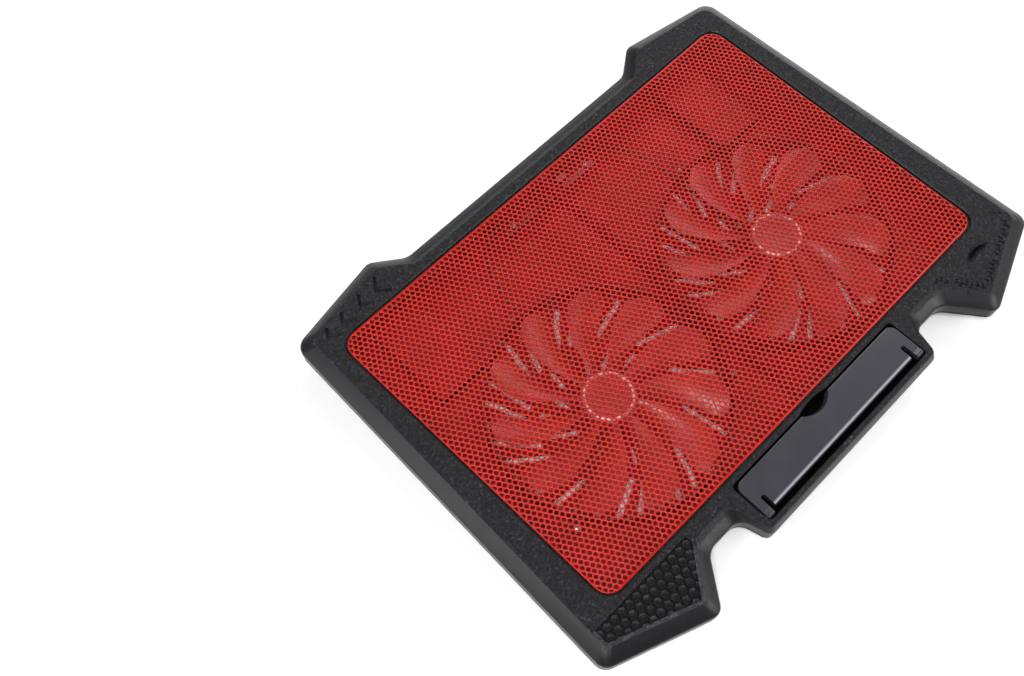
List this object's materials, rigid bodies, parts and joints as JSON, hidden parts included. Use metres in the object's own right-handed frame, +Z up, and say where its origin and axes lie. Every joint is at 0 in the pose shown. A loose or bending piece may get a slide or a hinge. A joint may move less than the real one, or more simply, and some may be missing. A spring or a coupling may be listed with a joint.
{
  "type": "laptop cooling pad",
  "caption": "Slim laptop cooling pad: lobed black tray, perforated red metal deck over two fans, flip-up front stop and fold-out rear feet.",
  "frame": {"origin": "centre of the pad's outline on the desk surface, at the underside of the rubber pads", "axes": "+X to the user's right, along the long side; +Y to the rear, towards the sockets; +Z up, through the deck"},
  "size_m": [0.3806, 0.2857, 0.028],
  "materials": {
    "frame_black": "fine leather-grained black moulding, satin",
    "mesh_red": "perforated sheet steel, satin red paint",
    "cover_black": "fine matt spark texture",
    "flap_charcoal": "smooth satin charcoal moulding",
    "fan_frame_black": "plain matt moulding",
    "blade_smoke": "glossy pale translucent moulding",
    "bright_trim": "bright foil ring",
    "magnet_dark": "bonded ferrite strip, matt",
    "steel": "plain drawn steel",
    "bronze": "sintered bronze",
    "core_steel": "stamped laminations",
    "copper_wire": "enamelled copper wire",
    "board_mask": "solder-masked circuit board",
    "lead_black": "flexible insulation",
    "screw_steel": "zinc-plated steel",
    "rubber_black": "matt rubber"
  },
  "bodies": {
    "housing": {"top_frame": "frame_black", "mesh_panel": "mesh_red", "bottom_cover": "cover_black", "left_fan_frame": "fan_frame_black", "left_bearing": "bronze", "left_stator_core": "core_steel", "left_windings": "copper_wire", "left_motor_board": "board_mask", "left_fan_lead": "lead_black", "left_fan_screw_1": "screw_steel", "left_fan_screw_2": "screw_steel", "left_fan_screw_3": "screw_steel", "right_fan_frame": "fan_frame_black", "right_bearing": "bronze", "right_stator_core": "core_steel", "right_windings": "copper_wire", "right_motor_board": "board_mask", "right_fan_lead": "lead_black", "right_fan_screw_1": "screw_steel", "right_fan_screw_2": "screw_steel", "right_fan_screw_3": "screw_steel", "control_board": "board_mask", "usb_power_port": "steel", "usb_spare_port": "steel", "switch_body": "fan_frame_black", "board_screw_left": "screw_steel", "board_screw_right": "screw_steel", "front_left_pad": "rubber_black", "front_right_pad": "rubber_black", "rear_left_pad": "rubber_black", "rear_right_pad": "rubber_black", "cover_screw_1": "screw_steel", "cover_screw_2": "screw_steel", "cover_screw_3": "screw_steel", "cover_screw_4": "screw_steel", "cover_screw_5": "screw_steel", "cover_screw_6": "screw_steel", "cover_screw_7": "screw_steel", "cover_screw_8": "screw_steel"},
    "stop_flap": {"stop_flap": "flap_charcoal"},
    "left_rotor": {"left_impeller": "blade_smoke", "left_hub_ring": "bright_trim", "left_magnet_ring": "magnet_dark", "left_shaft": "steel"},
    "right_rotor": {"right_impeller": "blade_smoke", "right_hub_ring": "bright_trim", "right_magnet_ring": "magnet_dark", "right_shaft": "steel"},
    "left_foot": {"left_rear_foot": "cover_black", "left_foot_tip": "rubber_black"},
    "right_foot": {"right_rear_foot": "cover_black", "right_foot_tip": "rubber_black"},
    "switch_lever": {"switch_lever": "flap_charcoal"}
  },
  "joints": [
    {"name": "stop_hinge", "type": "hinge", "parent": "housing", "child": "stop_flap", "pos_m": [0, -0.1269, 0.0254], "axis": [1, 0, 0], "range_deg": [0, 80]},
    {"name": "left_fan_spin", "type": "hinge", "parent": "housing", "child": "left_rotor", "pos_m": [-0.0756, -0.0174, 0.014], "axis": [0, 0, 1], "continuous": true},
    {"name": "right_fan_spin", "type": "hinge", "parent": "housing", "child": "right_rotor", "pos_m": [0.0756, -0.0174, 0.014], "axis": [0, 0, 1], "continuous": true},
    {"name": "left_foot_hinge", "type": "hinge", "parent": "housing", "child": "left_foot", "pos_m": [-0.125, 0.1036, 0.005], "axis": [1, 0, 0], "range_deg": [0, 105]},
    {"name": "right_foot_hinge", "type": "hinge", "parent": "housing", "child": "right_foot", "pos_m": [0.125, 0.1036, 0.005], "axis": [1, 0, 0], "range_deg": [0, 105]},
    {"name": "switch_slide", "type": "slide", "parent": "housing", "child": "switch_lever", "axis": [1, 0, 0], "range_m": [0, 0.003]}
  ]
}
